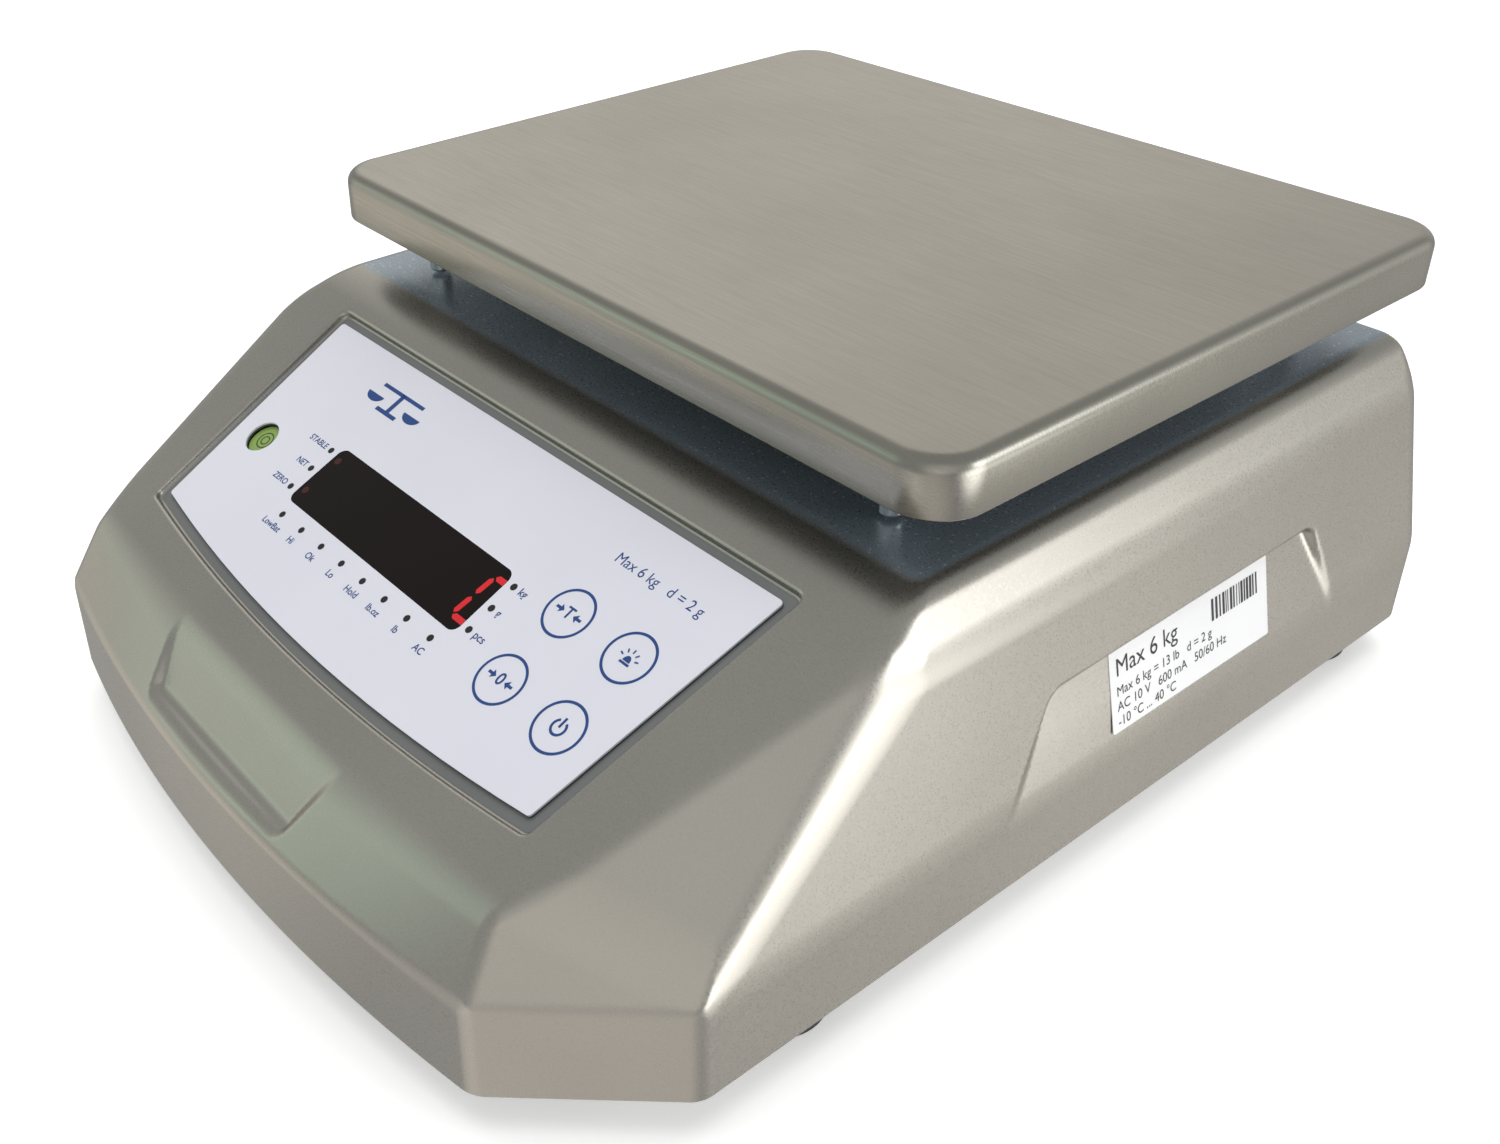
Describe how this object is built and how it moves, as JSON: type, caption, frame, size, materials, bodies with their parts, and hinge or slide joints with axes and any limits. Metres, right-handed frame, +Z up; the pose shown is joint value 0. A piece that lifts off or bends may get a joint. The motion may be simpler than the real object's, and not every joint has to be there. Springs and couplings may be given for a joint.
{
  "type": "weighing scale",
  "caption": "Counter-top weighing scale with a lift-off steel pan, drawn stainless housing, sloping LED display panel with keys and round level, and levelling feet.",
  "frame": {"origin": "on the floor, under the centre of the scale's outline", "axes": "+Z up, -Y towards the user who faces the display, +X to that user's right"},
  "size_m": [0.25, 0.305, 0.123],
  "materials": {
    "satin_steel": "bead-blasted satin stainless",
    "brushed_pan": "fine brushed stainless",
    "plain_steel": "mill-finish stainless sheet",
    "screw_steel": "plain machined stainless",
    "bright_steel": "polished stainless",
    "cast_aluminium": "fine shot-blasted casting",
    "cell_aluminium": "clear anodised, machined",
    "seal_rubber": "matt moulded rubber",
    "foot_rubber": "matt moulded rubber",
    "overlay_film": "printed polyester film, fine satin",
    "circuit_film": "laminated film circuit",
    "dark_window": "dark red filter window",
    "circuit_board": "green solder mask",
    "led_body": "dark LED body",
    "green_plastic": "green moulded plastic",
    "level_liquid": "clear vial with green liquid",
    "battery_case": "black ABS case",
    "brass_pillar": "turned brass",
    "component_black": "black moulded electronic parts",
    "label_film": "white printed film label"
  },
  "bodies": {
    "base": {"top_housing": "satin_steel", "base_plate": "plain_steel", "base_gasket": "seal_rubber", "housing_tabs": "plain_steel", "base_screws": "screw_steel", "foot_bushes": "screw_steel", "pedestal": "cast_aluminium", "load_cell": "cell_aluminium", "cell_base_bolts": "screw_steel", "deck_seal": "seal_rubber", "overlay": "overlay_film", "keypad_circuit": "circuit_film", "key_domes": "bright_steel", "window_lens": "dark_window", "display_board": "circuit_board", "display_pillars": "plain_steel", "display_screws": "screw_steel", "led_digits": "led_body", "status_lamps": "led_body", "level_cup": "green_plastic", "level_vial": "level_liquid", "level_posts": "plain_steel", "battery": "battery_case", "battery_bracket": "plain_steel", "bracket_screw": "screw_steel", "main_board": "circuit_board", "board_pillars": "brass_pillar", "board_screws": "screw_steel", "board_parts": "component_black", "buzzer": "component_black", "power_jack": "component_black", "jack_nut": "screw_steel", "rating_label": "label_film"},
    "platform": {"spider": "cast_aluminium", "hub_bolts": "screw_steel", "stop_screws": "bright_steel", "stop_locknuts": "screw_steel", "pan_pads": "seal_rubber"},
    "pan": {"pan": "brushed_pan"},
    "tare_key": {"tare_key": "overlay_film"},
    "light_key": {"light_key": "overlay_film"},
    "zero_key": {"zero_key": "overlay_film"},
    "power_key": {"power_key": "overlay_film"},
    "foot_front_left": {"foot_pad_front_left": "foot_rubber"},
    "stud_front_left": {"foot_stud_front_left": "screw_steel"},
    "foot_front_right": {"foot_pad_front_right": "foot_rubber"},
    "stud_front_right": {"foot_stud_front_right": "screw_steel"},
    "foot_rear_left": {"foot_pad_rear_left": "foot_rubber"},
    "stud_rear_left": {"foot_stud_rear_left": "screw_steel"},
    "foot_rear_right": {"foot_pad_rear_right": "foot_rubber"},
    "stud_rear_right": {"foot_stud_rear_right": "screw_steel"}
  },
  "joints": [
    {"name": "weigh_travel", "type": "slide", "parent": "base", "child": "platform", "axis": [0, 0, 1], "range_m": [-0.0005, 0], "stiffness_N_per_m": 120000, "springref_m": 0.0002, "deforming": ["load_cell"]},
    {"name": "pan_lift", "type": "slide", "parent": "platform", "child": "pan", "axis": [0, 0, 1], "range_m": [0, 0.08]},
    {"name": "tare_press", "type": "slide", "parent": "base", "child": "tare_key", "axis": [0, 0.4226, -0.9063], "range_m": [0, 0.00025], "stiffness_N_per_m": 3000, "springref_m": -0.0001},
    {"name": "light_press", "type": "slide", "parent": "base", "child": "light_key", "axis": [0, 0.4226, -0.9063], "range_m": [0, 0.00025], "stiffness_N_per_m": 3000, "springref_m": -0.0001},
    {"name": "zero_press", "type": "slide", "parent": "base", "child": "zero_key", "axis": [0, 0.4226, -0.9063], "range_m": [0, 0.00025], "stiffness_N_per_m": 3000, "springref_m": -0.0001},
    {"name": "power_press", "type": "slide", "parent": "base", "child": "power_key", "axis": [0, 0.4226, -0.9063], "range_m": [0, 0.00025], "stiffness_N_per_m": 3000, "springref_m": -0.0001},
    {"name": "extend_front_left", "type": "slide", "parent": "base", "child": "foot_front_left", "axis": [0, 0, -1], "range_m": [0, 0.008]},
    {"name": "turn_front_left", "type": "hinge", "parent": "foot_front_left", "child": "stud_front_left", "pos_m": [-0.1075, -0.0735, 0.006], "axis": [0, 0, -1], "range_deg": [0, 2304]},
    {"name": "extend_front_right", "type": "slide", "parent": "base", "child": "foot_front_right", "axis": [0, 0, -1], "range_m": [0, 0.008]},
    {"name": "turn_front_right", "type": "hinge", "parent": "foot_front_right", "child": "stud_front_right", "pos_m": [0.1075, -0.0735, 0.006], "axis": [0, 0, -1], "range_deg": [0, 2304]},
    {"name": "extend_rear_left", "type": "slide", "parent": "base", "child": "foot_rear_left", "axis": [0, 0, -1], "range_m": [0, 0.008]},
    {"name": "turn_rear_left", "type": "hinge", "parent": "foot_rear_left", "child": "stud_rear_left", "pos_m": [-0.1075, 0.132, 0.006], "axis": [0, 0, -1], "range_deg": [0, 2304]},
    {"name": "extend_rear_right", "type": "slide", "parent": "base", "child": "foot_rear_right", "axis": [0, 0, -1], "range_m": [0, 0.008]},
    {"name": "turn_rear_right", "type": "hinge", "parent": "foot_rear_right", "child": "stud_rear_right", "pos_m": [0.1075, 0.132, 0.006], "axis": [0, 0, -1], "range_deg": [0, 2304]}
  ],
  "couplings": [
    {"joint": "turn_front_left", "follows": "extend_front_left", "rad_per_m": 5026.6},
    {"joint": "turn_front_right", "follows": "extend_front_right", "rad_per_m": 5026.6},
    {"joint": "turn_rear_left", "follows": "extend_rear_left", "rad_per_m": 5026.6},
    {"joint": "turn_rear_right", "follows": "extend_rear_right", "rad_per_m": 5026.6}
  ]
}
